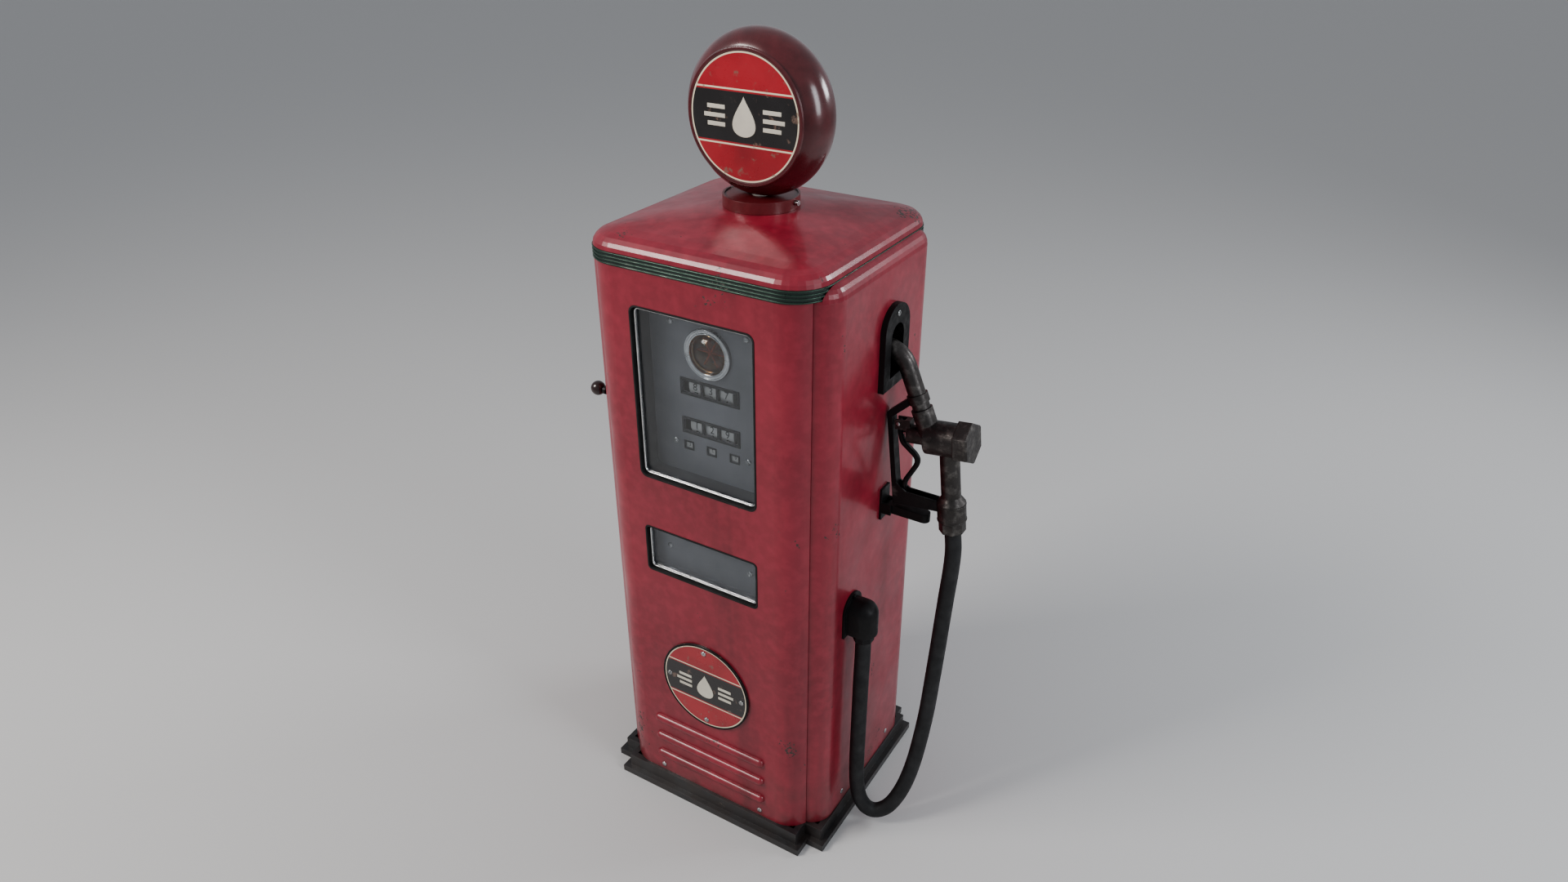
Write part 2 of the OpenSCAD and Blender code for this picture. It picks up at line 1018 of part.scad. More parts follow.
module nozzle_guard() {
    color("#2d2a2a") difference() {
        hung() {
            upright_plate(-13, 13)
                polygon([[-146, -186], [-134, -186], [-134, 42], [-66, 92], [-66, 104], [-76, 104], [-146, 52]]);
            for (y = [-13, 9])
                upright_plate(y, y + 4)
                    polygon([[-134, -186], [-25, -186], [-25, -160], [-110, -150], [-134, -130]]);
        }
        hung() translate([0, 0, -210])
            cylinder(r = 34, h = 60);
        spout_place()
            translate([0, 0, -110])
                cylinder(r = spout_r + 4.05, h = 60);
    }
}

module valve_stem() {
    color("silver") hung()
        translate([-112, 0, 0])
            rod_x(5, 66);
}

// ---- machinery ----

module suction_pipe() {
    color("dimgray") difference() {
        union() {
            translate([-175, -60, 0])
                cylinder(r = 24, h = 200);
            translate([-175, -60, 0])
                cylinder(r = 34, h = 14);
        }
        translate([-175, -60, -1])
            cylinder(r = 19, h = 202);
    }
}

module pump_housing() {
    color("#6d7a6a") difference() {
        union() {
            translate([-200, -120, pump_shelf_z + shelf_t + 60])
                cube([150, 200, 130]);
            translate([-190, -20, pump_shelf_z + shelf_t])
                cube([130, 90, 60]);
            translate([pump_x, 80, pump_z])
                rod_y(34, 40);
        }
        translate([-175, -60, 100])
            cylinder(r = 20, h = 140);
        translate([pump_x, 60, pump_z])
            rod_y(10 + run_fit, 62);
    }
}

module motor() {
    color("#56606b") difference() {
        union() {
            translate([motor_x, -110, motor_z])
                rod_y(motor_r, 210);
            translate([motor_x - 70, -80, pump_shelf_z + shelf_t])
                cube([140, 150, 60]);
        }
        translate([motor_x, 60, motor_z])
            rod_y(9 + run_fit, 41);
    }
}

// Grooved sheave on its shaft, turning about Y
module sheave(r, shaft_r, y0) {
    rotate([-90, 0, 0])
        rotate_extrude()
            polygon([[0, 0], [r, 0], [r, 4], [r - 8, 8], [r - 8, 16], [r, 20], [r, 24], [0, 24]]);
    translate([0, y0, 0])
        rod_y(shaft_r, -y0 + 1);
}

module motor_sheave() {
    color("silver") translate([motor_x, drive_y, motor_z])
        sheave(motor_sheave_r, 9, 62 - drive_y);
}

module pump_sheave() {
    color("silver") translate([pump_x, drive_y, pump_z])
        sheave(pump_sheave_r, 10, 62 - drive_y);
}

module air_separator() {
    color("#6d7a6a") translate([feed_x, 0, pump_shelf_z + shelf_t + 190.3])
        difference() {
            union() {
                cylinder(r = 55, h = 190);
                translate([0, 0, 190])
                    cylinder(r = 26, h = 14);
            }
            translate([0, 0, 5])
                cylinder(r = 50, h = 180);
            translate([0, 0, 184])
                cylinder(r = 14, h = 30);
        }
}

// Pipe with a bend: along +Z for l1, then turning to +X for l2
module bent_pipe(r, bore, bend, l1, l2) {
    difference() {
        union() {
            cylinder(r = r, h = l1);
            translate([bend, 0, l1])
                rotate([90, 0, 180])
                    rotate_extrude(angle = 90)
                        translate([bend, 0])
                            circle(r);
            translate([bend, 0, l1 + bend])
                rod_x(r, l2);
        }
        translate([0, 0, -1])
            cylinder(r = bore, h = l1 + 1);
        translate([bend, 0, l1])
            rotate([90, 0, 180])
                rotate_extrude(angle = 90)
                    translate([bend, 0])
                        circle(bore);
        translate([bend, 0, l1 + bend])
            rod_x(bore, l2 + 1);
    }
}

module feed_pipe() {
    foot = pump_shelf_z + shelf_t + 190.3 + 204.2;
    color("dimgray") translate([feed_x, 0, foot])
        bent_pipe(18, 13, 40, feed_z - 40 - foot, meter_x - meter_r - 0.2 - feed_x - 40);
}

module delivery_pipe() {
    color("dimgray") translate([meter_x, -meter_r - 0.2, outlet_z])
        rotate([90, 0, 0])
            bent_pipe(18, 13, 30, -outlet_y - meter_r - 30.2, wall_x - 28.2 - meter_x - 30);
}

module meter() {
    color("#6d7a6a") translate([meter_x, 0, meter_shelf_z + shelf_t]) {
        cylinder(r = meter_r, h = 170);
        translate([0, 0, 169])
            cylinder(r = 40, h = 31);
    }
}

module meter_shaft() {
    foot = meter_shelf_z + shelf_t + 200.2;
    color("silver") translate([meter_x, 0, foot])
        cylinder(r = 8, h = register_shelf_z + 20 - foot);
}

// A V-belt round both sheaves, as one outline inside another
function arc_points(cx, r, from, to) = [for (i = [0:24])
    let (a = from + (to - from) * i / 24) [cx + r * cos(a), r * sin(a)]];

function belt_points(gap, lean, g) = concat(
    arc_points(0, pump_sheave_r + g, 90 - lean, 270 + lean),
    arc_points(gap, motor_sheave_r + g, -90 + lean, 90 - lean)
);

module drive_belt() {
    dx = motor_x - pump_x;
    dz = motor_z - pump_z;
    gap = norm([dx, dz]);
    lean = asin((pump_sheave_r - motor_sheave_r) / gap);
    color("#1a1a1a") translate([pump_x, drive_y + 8.4, pump_z])
        rotate([-90, 0, 0])
            rotate([0, 0, -atan2(dz, dx)])
                linear_extrude(7.2)
                    difference() {
                        polygon(belt_points(gap, lean, 3));
                        polygon(belt_points(gap, lean, -7.4));
                    }
}

module junction_box() {
    color("gray") {
        translate([150, 85, 330])
            cube([75, 90, 110]);
        translate([conduit_x, conduit_y, 0])
            cylinder(r = 11, h = 331);
    }
}

// Curved lever between the guard's cheeks; its nose works the valve stem
module trigger() {
    color("#2d2a2a") hung() difference() {
        upright_plate(-7, 7) {
            translate([trigger_x, trigger_z])
                circle(9);
            polygon([[trigger_x - 6, trigger_z], [trigger_x + 5, trigger_z - 2], [-113, 0], [-111.5, -22],
                [-92, -38], [-78, -52], [-74, -66], [-78, -82], [-92, -104], [-108, -128],
                [-114, -150], [-114, -166], [-128, -166], [-128, -148], [-121, -122], [-104, -96],
                [-92, -78], [-88, -66], [-94, -54], [-108, -40], [-119, -24], [-126, 0]]);
        }
        translate([trigger_x, -10, trigger_z])
            rod_y(3 + run_fit, 20);
    }
}

plinth();
frame_uprights();
shelves();
left_side_panel();
right_side_panel();
front_panel();
rear_panel();
trim_band();
cap();
globe_collar();
collar_screw();
globe_body();
front_globe_lens();
rear_globe_lens();
lamp_socket();
lamp_bulb();
window_gasket();
glass_panes();
window_frame();
dial_plate();
sight_ring();
sight_dome();
sight_housing();
slot_pan();
badge();
screws();
nozzle_boot();
hook_bracket();
hose_outlet();
hose();
motor();
junction_box();
pump_housing();
drive_belt();
air_separator();
meter();
meter_shaft();
suction_pipe();
feed_pipe();
delivery_pipe();
register_case();
motor_sheave();
pump_sheave();
flow_spinner();
reset_crank();
reset_knob();
nozzle_casting();
nozzle_spout();
valve_cap();
hose_nut();
nozzle_guard();
trigger();
valve_stem();
hook_lever();
sale_wheel_1();
sale_wheel_2();
sale_wheel_3();
volume_wheel_1();
volume_wheel_2();
volume_wheel_3();
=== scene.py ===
"""Vintage gas pump: materials, digits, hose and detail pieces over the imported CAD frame."""
import json
import math

import bmesh
import bpy
from mathutils import Matrix, Vector


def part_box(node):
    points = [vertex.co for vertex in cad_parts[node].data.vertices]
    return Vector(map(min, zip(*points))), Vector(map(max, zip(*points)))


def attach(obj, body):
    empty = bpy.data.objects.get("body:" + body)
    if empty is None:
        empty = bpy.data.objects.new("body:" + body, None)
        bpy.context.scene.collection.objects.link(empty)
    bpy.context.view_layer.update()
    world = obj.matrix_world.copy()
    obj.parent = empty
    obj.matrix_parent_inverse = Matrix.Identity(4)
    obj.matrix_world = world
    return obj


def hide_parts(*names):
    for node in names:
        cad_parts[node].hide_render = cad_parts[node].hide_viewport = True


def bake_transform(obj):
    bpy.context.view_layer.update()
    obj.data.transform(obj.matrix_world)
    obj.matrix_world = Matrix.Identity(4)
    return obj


bpy.ops.wm.read_factory_settings(use_empty=True)
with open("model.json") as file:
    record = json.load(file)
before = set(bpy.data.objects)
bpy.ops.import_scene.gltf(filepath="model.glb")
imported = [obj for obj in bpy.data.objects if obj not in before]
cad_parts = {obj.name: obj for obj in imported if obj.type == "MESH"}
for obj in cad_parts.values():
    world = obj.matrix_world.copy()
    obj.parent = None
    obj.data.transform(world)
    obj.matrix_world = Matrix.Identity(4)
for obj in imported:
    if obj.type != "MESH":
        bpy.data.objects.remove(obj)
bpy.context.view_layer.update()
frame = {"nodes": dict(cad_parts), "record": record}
nodes = frame["nodes"]

# Places shared with the CAD, in metres
FACE_Y = -0.286
WALL_X = 0.3165
GLOBE_Z, LENS_R = 1.806, 0.138
BADGE_Z, BADGE_R, BADGE_FACE_Y = 0.431, 0.130, -0.291
DIAL_WINDOW = (0.322, 0.429, 1.2245)
LOWER_WINDOW = (0.320, 0.131, 0.8065)
PLATE_Y, PAN_Y = -0.220, -0.246
SIGHT_Z, SALE_Z, VOLUME_Z, PRICE_Z = 1.333, 1.240, 1.141, 1.088
PRICE_XS = (-0.063, 0.0, 0.063)
NOZZLE_AT, NOZZLE_LEAN = (0.471, 0.035, 1.134), -6.7
TRIGGER_PIN = (-0.119, 0, 0.026)


# ---- camera, floor and light ----

def add_camera():
    data = bpy.data.cameras.new("camera")
    data.lens = 24.44
    data.sensor_width = 36
    data.clip_end = 200
    cam = bpy.data.objects.new("camera", data)
    cam.location = (1.237, -1.940, 2.305)
    cam.rotation_euler = (math.radians(60.62), 0, math.radians(31.29))
    bpy.context.scene.collection.objects.link(cam)
    bpy.context.scene.camera = cam


def add_area(name, at, target, size, watts, colour):
    data = bpy.data.lights.new(name, "AREA")
    data.shape = "RECTANGLE"
    data.size, data.size_y = size
    data.energy = watts
    data.color = colour
    lamp = bpy.data.objects.new(name, data)
    lamp.location = at
    aim = Vector(target) - Vector(at)
    lamp.rotation_euler = aim.to_track_quat("-Z", "Y").to_euler()
    bpy.context.scene.collection.objects.link(lamp)


def add_stage():
    mesh = bpy.data.meshes.new("floor")
    half = 60
    corners = [(-half, -half, 0), (half, -half, 0), (half, half, 0), (-half, half, 0)]
    mesh.from_pydata(corners, [], [(0, 1, 2, 3)])
    floor = bpy.data.objects.new("floor", mesh)
    bpy.context.scene.collection.objects.link(floor)
    floor.location.z = -0.0005
    mat = bpy.data.materials.new("floor")
    mat.use_nodes = True
    shader = mat.node_tree.nodes["Principled BSDF"]
    shader.inputs["Base Color"].default_value = (0.56, 0.555, 0.55, 1)
    shader.inputs["Roughness"].default_value = 0.75
    mesh.materials.append(mat)
    world = bpy.data.worlds.new("studio")
    world.use_nodes = True
    back = world.node_tree.nodes["Background"]
    back.inputs["Color"].default_value = (0.80, 0.83, 0.88, 1)
    back.inputs["Strength"].default_value = 0.45
    bpy.context.scene.world = world
    add_area("key", (-2.6, -3.0, 4.2), (0, 0, 1.0), (1.8, 1.8), 170, (1.0, 0.96, 0.92))
    add_area("side", (4.2, -0.6, 2.8), (0.3, 0, 0.9), (1.2, 2.4), 60, (0.92, 0.96, 1.0))
    add_area("rim", (3.4, 3.4, 3.2), (0, 0, 1.2), (1.6, 1.2), 70, (0.95, 0.97, 1.0))
    scene = bpy.context.scene
    scene.view_settings.view_transform = "AgX"
    scene.view_settings.look = "AgX - Medium High Contrast"


add_camera()
add_stage()


# ---- materials ----

class Mat:
    """A small builder for node materials in object space."""

    def __init__(self, name, colour, rough=0.5, metal=0.0, coat=0.0, coat_rough=0.1):
        self.mat = bpy.data.materials.new(name)
        self.mat.use_nodes = True
        self.t = self.mat.node_tree
        self.n = self.t.nodes
        self.bsdf = self.n["Principled BSDF"]
        self.bsdf.inputs["Base Color"].default_value = (*colour, 1)
        self.bsdf.inputs["Roughness"].default_value = rough
        self.bsdf.inputs["Metallic"].default_value = metal
        self.bsdf.inputs["Coat Weight"].default_value = coat
        self.bsdf.inputs["Coat Roughness"].default_value = coat_rough
        self.coord = self.n.new("ShaderNodeTexCoord").outputs["Object"]

    def link(self, a, b):
        self.t.links.new(a, b)

    def noise(self, scale, detail=4.0, rough=0.55, stretch=None, distort=0.0):
        src = self.coord
        if stretch:
            m = self.n.new("ShaderNodeMapping")
            m.inputs["Scale"].default_value = stretch
            self.link(self.coord, m.inputs["Vector"])
            src = m.outputs["Vector"]
        n = self.n.new("ShaderNodeTexNoise")
        n.inputs["Scale"].default_value = scale
        n.inputs["Detail"].default_value = detail
        n.inputs["Roughness"].default_value = rough
        n.inputs["Distortion"].default_value = distort
        self.link(src, n.inputs["Vector"])
        return n.outputs["Fac"]

    def ramp(self, fac, low, high, a=0.0, b=1.0):
        r = self.n.new("ShaderNodeMapRange")
        r.inputs["From Min"].default_value = low
        r.inputs["From Max"].default_value = high
        r.inputs["To Min"].default_value = a
        r.inputs["To Max"].default_value = b
        self.link(fac, r.inputs["Value"])
        return r.outputs["Result"]

    def math(self, op, a, b=None, c=None):
        m = self.n.new("ShaderNodeMath")
        m.operation = op
        for i, v in enumerate((a, b, c)):
            if v is None:
                continue
            if isinstance(v, (int, float)):
                m.inputs[i].default_value = v
            else:
                self.link(v, m.inputs[i])
        return m.outputs["Value"]

    def mix(self, fac, a, b):
        m = self.n.new("ShaderNodeMix")
        m.data_type = "RGBA"
        if isinstance(fac, (int, float)):
            m.inputs["Factor"].default_value = fac
        else:
            self.link(fac, m.inputs["Factor"])
        for socket, v in ((m.inputs[6], a), (m.inputs[7], b)):
            if isinstance(v, tuple):
                socket.default_value = (*v, 1)
            else:
                self.link(v, socket)
        return m.outputs[2]

    def paint(self, value):
        self.link(value, self.bsdf.inputs["Base Color"])

    def roughness(self, value):
        self.link(value, self.bsdf.inputs["Roughness"])

    def bump(self, height, strength=0.2, distance=0.001, edge=0.0015):
        b = self.n.new("ShaderNodeBump")
        b.inputs["Strength"].default_value = strength
        b.inputs["Distance"].default_value = distance
        self.link(height, b.inputs["Height"])
        if edge:
            e = self.n.new("ShaderNodeBevel")
            e.samples = 4
            e.inputs["Radius"].default_value = edge
            self.link(e.outputs["Normal"], b.inputs["Normal"])
        self.link(b.outputs["Normal"], self.bsdf.inputs["Normal"])

    def xyz(self):
        s = self.n.new("ShaderNodeSeparateXYZ")
        self.link(self.coord, s.inputs["Vector"])
        return s.outputs["X"], s.outputs["Y"], s.outputs["Z"]


def enamel(name, colour, dark, primer, chips=0.66, coat=0.45, rough=0.36, grime_low=True):
    """Old gloss enamel: faded patches, fine chips down to primer, dirt near the floor."""
    m = Mat(name, colour, rough, coat=coat, coat_rough=0.16)
    fade = m.ramp(m.noise(2.6, 5), 0.35, 0.68)
    tone = m.mix(fade, dark, colour)
    bright = tuple(min(1, c * 1.35 + 0.01) for c in colour)
    mottled = m.mix(m.ramp(m.noise(38, 3), 0.42, 0.72, 0.0, 0.35), tone, bright)
    streak = m.ramp(m.noise(9, 4, 0.6, (1, 1, 0.12)), 0.56, 0.72, 0.0, 0.45)
    streaked = m.mix(streak, mottled, tuple(c * 0.45 for c in dark))
    chip_field = m.noise(130, 6, 0.62, None, 0.4)
    chip_zone = m.ramp(m.noise(6.5, 4), 0.42, 0.70)
    chip = m.ramp(m.math("MULTIPLY", chip_field, chip_zone), chips - 0.14, chips - 0.12)
    chipped = m.mix(chip, streaked, primer)
    x, y, z = m.xyz()
    if grime_low:
        low = m.math("MULTIPLY", m.ramp(z, 0.30, 0.05), m.ramp(m.noise(14, 5), 0.35, 0.7))
        chipped = m.mix(m.math("MULTIPLY", low, 0.6), chipped, (0.045, 0.030, 0.024))
    m.paint(chipped)
    grain = m.ramp(m.noise(7, 6), 0.3, 0.75, rough - 0.08, rough + 0.20)
    m.roughness(m.math("ADD", grain, m.math("MULTIPLY", chip, 0.3)))
    height = m.math("SUBTRACT", m.math("MULTIPLY", m.noise(150, 2), 0.12), m.math("MULTIPLY", chip, 0.8))
    m.bump(height, 0.35, 0.0008)
    return m.mat


def worn_metal(name, colour, light, rough=0.42, metal=0.85, scale=60, wear=(0.55, 0.75)):
    """Dark or bright metal with rubbed patches, fine scratches and dirt."""
    m = Mat(name, colour, rough, metal)
    rub = m.ramp(m.noise(scale * 0.35, 6, 0.6), wear[0], wear[1])
    base = m.mix(rub, colour, light)
    dirt = m.ramp(m.noise(scale * 0.1, 4), 0.42, 0.66, 0.0, 0.55)
    m.paint(m.mix(dirt, base, tuple(c * 0.45 for c in colour)))
    m.roughness(m.ramp(m.noise(scale, 5), 0.3, 0.7, rough - 0.12, rough + 0.16))
    m.bump(m.noise(scale * 4, 4), 0.22, 0.0006)
    return m.mat


def rubber(name, colour, scale=220, rough=0.72):
    m = Mat(name, colour, rough)
    dust = m.ramp(m.noise(24, 5), 0.45, 0.75, 0.0, 0.5)
    m.paint(m.mix(dust, colour, tuple(c * 2.4 + 0.01 for c in colour)))
    m.roughness(m.ramp(m.noise(40, 4), 0.3, 0.7, rough - 0.12, rough + 0.14))
    m.bump(m.noise(scale, 3), 0.3, 0.0006)
    return m.mat


def plain(name, colour, rough=0.4, metal=0.0, scale=80, coat=0.0, vary=0.25):
    m = Mat(name, colour, rough, metal, coat)
    stain = m.ramp(m.noise(scale * 0.2, 5), 0.35, 0.7, 0.0, vary * 2)
    m.paint(m.mix(stain, colour, tuple(c * 0.55 for c in colour)))
    m.roughness(m.ramp(m.noise(scale, 4), 0.3, 0.7, max(0.04, rough - 0.1), rough + 0.15))
    m.bump(m.noise(scale * 3, 3), 0.12, 0.0004)
    return m.mat


def glass(name, colour, rough=0.03, ior=1.5, dusty=True):
    m = Mat(name, colour, rough)
    m.bsdf.inputs["Transmission Weight"].default_value = 1.0
    m.bsdf.inputs["IOR"].default_value = ior
    if dusty:
        m.roughness(m.ramp(m.noise(9, 5), 0.45, 0.8, rough, rough + 0.10))
        film = m.ramp(m.noise(5, 6), 0.45, 0.75, 0.0, 0.35)
        m.paint(m.mix(film, colour, tuple(c * 0.82 for c in colour)))
    m.mat.use_screen_refraction = True
    return m.mat


def roundel(name, centre_z, radius, glow):
    """Red round sign with a straight dark band, cream rules and a thin cream ring near its edge."""
    red, dark, cream = (0.40, 0.026, 0.034), (0.022, 0.020, 0.020), (0.74, 0.66, 0.50)
    m = Mat(name, red, 0.26, coat=0.5)
    x, y, z = m.xyz()
    dz = m.math("SUBTRACT", z, centre_z)
    r = m.math("SQRT", m.math("ADD", m.math("MULTIPLY", x, x), m.math("MULTIPLY", dz, dz)))
    reach = m.math("ABSOLUTE", dz)
    band = m.ramp(reach, 0.375 * radius, 0.370 * radius)
    rule = m.math("MULTIPLY", m.ramp(reach, 0.425 * radius, 0.42 * radius),
                  m.ramp(reach, 0.395 * radius, 0.40 * radius))
    edge = m.math("MULTIPLY", m.ramp(r, 0.935 * radius, 0.94 * radius),
                  m.ramp(r, 0.965 * radius, 0.96 * radius))
    rim = m.ramp(r, 0.96 * radius, 0.965 * radius)
    tone = m.mix(m.ramp(m.noise(7, 5), 0.35, 0.7), red, tuple(c * 0.6 for c in red))
    face = m.mix(band, tone, dark)
    face = m.mix(rule, face, cream)
    face = m.mix(edge, face, cream)
    face = m.mix(rim, face, dark)
    scuff = m.ramp(m.noise(34, 7, 0.62), 0.60, 0.66, 0.0, 0.75)
    face = m.mix(scuff, face, (0.20, 0.13, 0.10))
    m.paint(face)
    m.roughness(m.ramp(m.noise(12, 5), 0.3, 0.7, 0.16, 0.42))
    m.bump(m.noise(60, 3), 0.08, 0.0006)
    if glow:
        m.link(face, m.bsdf.inputs["Emission Color"])
        m.bsdf.inputs["Emission Strength"].default_value = glow
    return m.mat


RED, RED_DARK = (0.310, 0.024, 0.042), (0.205, 0.014, 0.027)
materials = {
    "enamel_red": enamel("enamel_red", RED, RED_DARK, (0.055, 0.040, 0.036)),
    "enamel_dark_red": enamel("enamel_dark_red", (0.16, 0.016, 0.020), (0.09, 0.010, 0.012),
                              (0.06, 0.05, 0.05), grime_low=False),
    "enamel_black": enamel("enamel_black", (0.022, 0.022, 0.024), (0.010, 0.010, 0.011),
                           (0.16, 0.13, 0.11), 0.62, 0.4, 0.42),
    # trim_green: the band's dark green is a painted reflection of green surroundings in its metal trim,
    # laid on as enamel colour
    "trim_green": enamel("trim_green", (0.016, 0.035, 0.028), (0.008, 0.018, 0.014),
                         (0.20, 0.18, 0.15), grime_low=False),
    "frame_steel": plain("frame_steel", (0.12, 0.125, 0.13), 0.55, 0.2),
    "moulding_metal": plain("moulding_metal", (0.115, 0.120, 0.130), 0.42, 0.55, 50),
    "dial_grey": plain("dial_grey", (0.29, 0.29, 0.31), 0.50, 0.1, 30, vary=0.35),
    "iron_black": worn_metal("iron_black", (0.020, 0.019, 0.020), (0.16, 0.15, 0.14),
                             0.46, 0.55, 60, (0.62, 0.80)),
    "iron_grey": plain("iron_grey", (0.115, 0.145, 0.120), 0.5, 0.1),
    "globe_case": enamel("globe_case", (0.115, 0.012, 0.016), (0.055, 0.007, 0.009),
                         (0.10, 0.08, 0.07), 0.70, 0.9, 0.22, grime_low=False),
    "globe_glass": roundel("globe_glass", GLOBE_Z, LENS_R, 0.10),
    "enamel_badge": roundel("enamel_badge", BADGE_Z, BADGE_R, 0.0),
    "ceramic_white": plain("ceramic_white", (0.80, 0.77, 0.70), 0.25, 0.0, 40, 0.5),
    "bulb_glass": plain("bulb_glass", (0.85, 0.82, 0.74), 0.35, 0.0, 40),
    "clear_glass": glass("clear_glass", (0.86, 0.90, 0.93), 0.02),
    "amber_glass": glass("amber_glass", (0.75, 0.42, 0.14), 0.05),
    "brass_case": worn_metal("brass_case", (0.36, 0.24, 0.08), (0.62, 0.48, 0.24), 0.36, 1.0),
    "steel_bright": worn_metal("steel_bright", (0.50, 0.50, 0.50), (0.78, 0.77, 0.75), 0.28, 1.0, 90),
    "pipe_steel": worn_metal("pipe_steel", (0.20, 0.20, 0.205), (0.40, 0.39, 0.38), 0.45, 0.9),
    "rubber_black": rubber("rubber_black", (0.012, 0.012, 0.012)),
    "hose_rubber": rubber("hose_rubber", (0.014, 0.014, 0.015), 320, 0.62),
    "belt_rubber": rubber("belt_rubber", (0.012, 0.012, 0.012)),
    "motor_paint": plain("motor_paint", (0.06, 0.085, 0.11), 0.45, 0.1),
    "spinner_plastic": plain("spinner_plastic", (0.70, 0.18, 0.03), 0.3, 0.0, 40, 0.4),
    "knob_black": plain("knob_black", (0.030, 0.012, 0.012), 0.25, 0.0, 60, 0.6),
    "nozzle_metal": worn_metal("nozzle_metal", (0.085, 0.078, 0.075), (0.25, 0.235, 0.22),
                               0.40, 0.85, 150, (0.50, 0.78)),
    "wheel_white": plain("wheel_white", (0.62, 0.61, 0.59), 0.5, 0.0, 60),
    "ink_cream": plain("ink_cream", (0.72, 0.68, 0.58), 0.5, 0.0, 60),
    "ink_dark": plain("ink_dark", (0.022, 0.023, 0.026), 0.5, 0.0, 60),
    # Polished band ridges: their green tint is a painted reflection of green surroundings, over dark
    # metal
    "ridge_metal_green_reflection": worn_metal("ridge_metal_green_reflection", (0.050, 0.085, 0.066), (0.22, 0.26, 0.22), 0.34, 0.6, 70),
    "chrome_trim": worn_metal("chrome_trim", (0.66, 0.66, 0.66), (0.88, 0.87, 0.85), 0.16, 1.0, 70),
}

slots = {s["node"]: s["material_slot"] for s in frame["record"]["subparts"]}
for name, obj in nodes.items():
    obj.data.materials.clear()
    obj.data.materials.append(materials[slots[name]])


# ---- mesh helpers ----

def make(name, bm, material, body, smooth=True, bevel=0.0):
    mesh = bpy.data.meshes.new(name)
    bmesh.ops.recalc_face_normals(bm, faces=bm.faces)
    bm.to_mesh(mesh)
    bm.free()
    obj = bpy.data.objects.new(name, mesh)
    bpy.context.scene.collection.objects.link(obj)
    mesh.materials.append(materials[material])
    if bevel:
        mod = obj.modifiers.new("edges", "BEVEL")
        mod.width = bevel
        mod.segments = 3
        mod.limit_method = "ANGLE"
    if smooth:
        for p in mesh.polygons:
            p.use_smooth = True
        mesh.set_sharp_from_angle(angle=math.radians(40))
    if body:
        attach(obj, body)
    return obj


def skin(bm, rings, closed=False):
    """Joins neighbouring rings of vertices; an open row gets a cap at both ends."""
    pairs = list(zip(rings, rings[1:]))
    if closed:
        pairs.append((rings[-1], rings[0]))
    else:
        bm.faces.new(rings[0])
        bm.faces.new(rings[-1])
    for a, b in pairs:
        for k in range(len(a)):
            n = (k + 1) % len(a)
            bm.faces.new((a[k], a[n], b[n], b[k]))


def circle(r, count, spin=0.0):
    """Points (x, y) of a circle about the origin."""
    angles = [2 * math.pi * k / count + spin for k in range(count)]
    return [(r * math.cos(a), r * math.sin(a)) for a in angles]


def prism(bm, sides, rows, spin=0.0):
    """Many-sided turned shape standing on XY: rows are (corner radius, height)."""
    skin(bm, [[bm.verts.new((x, y, z)) for x, y in circle(r, sides, spin)] for r, z in rows])


def move(bm, matrix, verts=None):
    bmesh.ops.transform(bm, matrix=matrix, verts=bm.verts if verts is None else verts)


def turn(degrees, axis):
    return Matrix.Rotation(math.radians(degrees), 4, axis)


def absorb(bm, other, matrix):
    """Moves one bmesh by the matrix, adds it to another and frees it."""
    move(other, matrix)
    mesh = bpy.data.meshes.new("part")
    other.to_mesh(mesh)
    other.free()
    bm.from_mesh(mesh)
    bpy.data.meshes.remove(mesh)


def add_copy(bm, mesh):
    """Adds a mesh and gives back the vertices that are new."""
    start = len(bm.verts)
    bm.from_mesh(mesh)
    bm.verts.ensure_lookup_table()
    return bm.verts[start:]


def tube(bm, path, radius, sides=24, up=Vector((-0.58, 0.81, 0))):
    rings = []
    last = len(path) - 1
    for i, p in enumerate(path):
        way = (path[min(i + 1, last)] - path[max(i - 1, 0)]).normalized()
        u = way.cross(up).normalized()
        w = way.cross(u)
        rings.append([bm.verts.new(p + a * u + b * w) for a, b in circle(radius, sides)])
    skin(bm, rings)


def smooth_line(points, steps):
    """Catmull-Rom curve through the points."""
    out = []
    n = len(points)
    for i in range(n - 1):
        p0 = points[max(i - 1, 0)]
        p1, p2 = points[i], points[i + 1]
        p3 = points[min(i + 2, n - 1)]
        for s in range(steps):
            t = s / steps
            out.append(0.5 * (2 * p1 + (p2 - p0) * t + (2 * p0 - 5 * p1 + 4 * p2 - p3) * t * t
                              + (3 * p1 - p0 - 3 * p2 + p3) * t * t * t))
    out.append(points[-1])
    return out


# ---- hose ----

# Middle line in millimetres, from the outlet down, round and up to the nozzle
ROUTE = [
    (353, -114, 617), (353, -114, 560), (353, -117, 480), (353, -118, 400), (353, -119, 320),
    (353, -120, 240), (354, -120, 170), (358, -119, 120), (366, -117, 82), (380, -112, 55),
    (398, -104, 42), (418, -94, 45), (437, -82, 62), (454, -67, 96), (468, -50, 145),
    (478, -32, 210), (485, -16, 290), (490, -4, 370), (493, 6, 460), (496, 15, 550),
    (499, 22, 640), (502, 28, 720), (505, 33, 790), (505, 35, 848), (499, 35, 899),
]


HOSE_D = 0.0394


def add_hose():
    line = smooth_line([Vector(p) / 1000 for p in ROUTE], 6)
    bm = bmesh.new()
    tube(bm, line, HOSE_D / 2)
    hose = make("fuel_hose", bm, "hose_rubber", None)
    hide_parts("hose")
    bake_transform(hose)


add_hose()


# ---- digits ----

